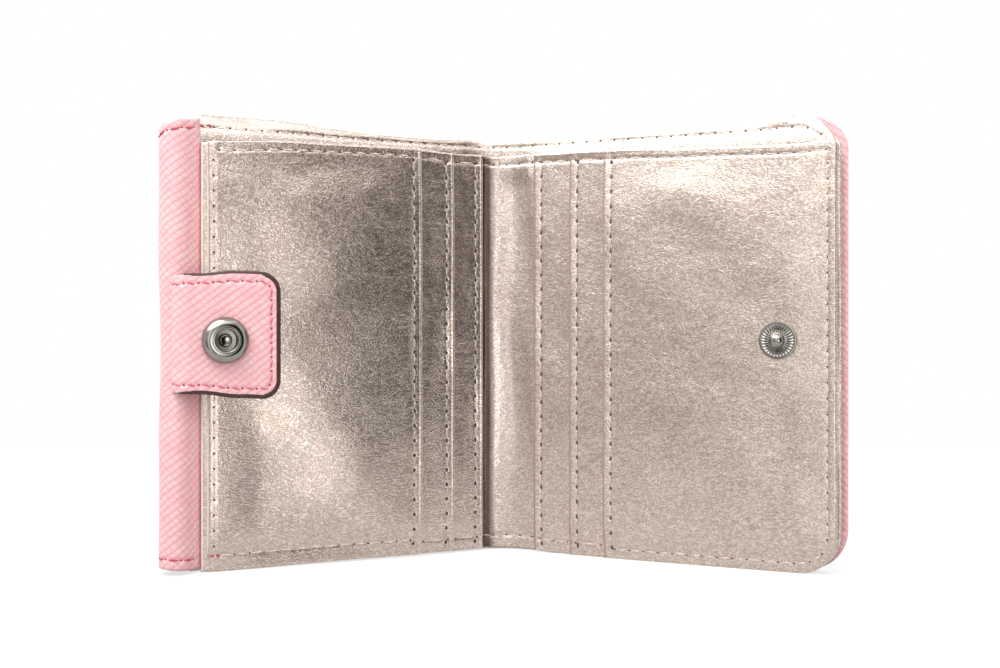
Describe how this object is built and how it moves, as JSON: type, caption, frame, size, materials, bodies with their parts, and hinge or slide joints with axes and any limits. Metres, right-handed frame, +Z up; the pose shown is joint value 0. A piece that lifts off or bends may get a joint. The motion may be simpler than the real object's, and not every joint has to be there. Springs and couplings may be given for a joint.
{
  "type": "card and coin purse",
  "caption": "Two-leaf leather purse, half open, with card slots, bill compartment, snap tab and a coin pocket with a snap flap.",
  "frame": {"origin": "on the ground, under the middle of the purse's box", "axes": "+Z up along the fold, +X to the front leaf, +Y from the inside of the fold to the back of the spine"},
  "size_m": [0.1442, 0.0442, 0.096],
  "materials": {
    "pink_leather": "cross-grained, semi-gloss",
    "champagne_leather": "metallic satin, fine grain",
    "board": "matte",
    "nickel": "polished",
    "steel": "satin"
  },
  "bodies": {
    "spine": {"cover_spine": "pink_leather", "bill_lining_spine": "champagne_leather", "inner_panel_spine": "champagne_leather"},
    "back_leaf": {"cover_back": "pink_leather", "stiffener_back": "board", "bill_lining_back": "champagne_leather", "inner_panel_back": "champagne_leather", "card_slot_back_1": "champagne_leather", "card_slot_back_2": "champagne_leather", "card_slot_back_3": "champagne_leather", "tab_anchor": "pink_leather", "coin_pocket_base": "pink_leather", "coin_pocket_gusset": "pink_leather", "coin_pocket_lining": "champagne_leather", "coin_pocket_wall": "pink_leather", "coin_snap_stud": "nickel", "coin_snap_rivet": "steel", "coin_flap_root": "pink_leather"},
    "front_leaf": {"cover_front": "pink_leather", "stiffener_front": "board", "bill_lining_front": "champagne_leather", "inner_panel_front": "champagne_leather", "card_slot_front_1": "champagne_leather", "card_slot_front_2": "champagne_leather", "card_slot_front_3": "champagne_leather", "snap_stud": "nickel", "snap_stud_rivet": "steel"},
    "closure_tab": {"tab_face": "pink_leather", "tab_backing": "pink_leather", "snap_socket": "nickel", "snap_spring": "steel", "snap_socket_cap": "nickel"},
    "coin_flap": {"coin_flap_face": "pink_leather", "coin_flap_lining": "champagne_leather", "coin_snap_cap": "nickel", "coin_snap_socket": "nickel", "coin_snap_spring": "steel"}
  },
  "joints": [
    {"name": "back_fold", "type": "hinge", "parent": "spine", "child": "back_leaf", "pos_m": [-0.00601, 0.01239, 0.048], "axis": [0, 0, 1], "range_deg": [-22.5, 63.3]},
    {"name": "front_fold", "type": "hinge", "parent": "spine", "child": "front_leaf", "pos_m": [0.00379, 0.01239, 0.048], "axis": [0, 0, -1], "range_deg": [-22.5, 63.3]},
    {"name": "tab_hinge", "type": "hinge", "parent": "back_leaf", "child": "closure_tab", "pos_m": [-0.06686, -0.021, 0.0496], "axis": [0, 0, -1], "range_deg": [0, 165]},
    {"name": "coin_flap_hinge", "type": "hinge", "parent": "back_leaf", "child": "coin_flap", "pos_m": [-0.0403, 0.00175, 0.084], "axis": [0.9239, 0.3827, 0], "range_deg": [0, 135]}
  ],
  "couplings": [
    {"joint": "front_fold", "follows": "back_fold", "ratio": 1}
  ]
}
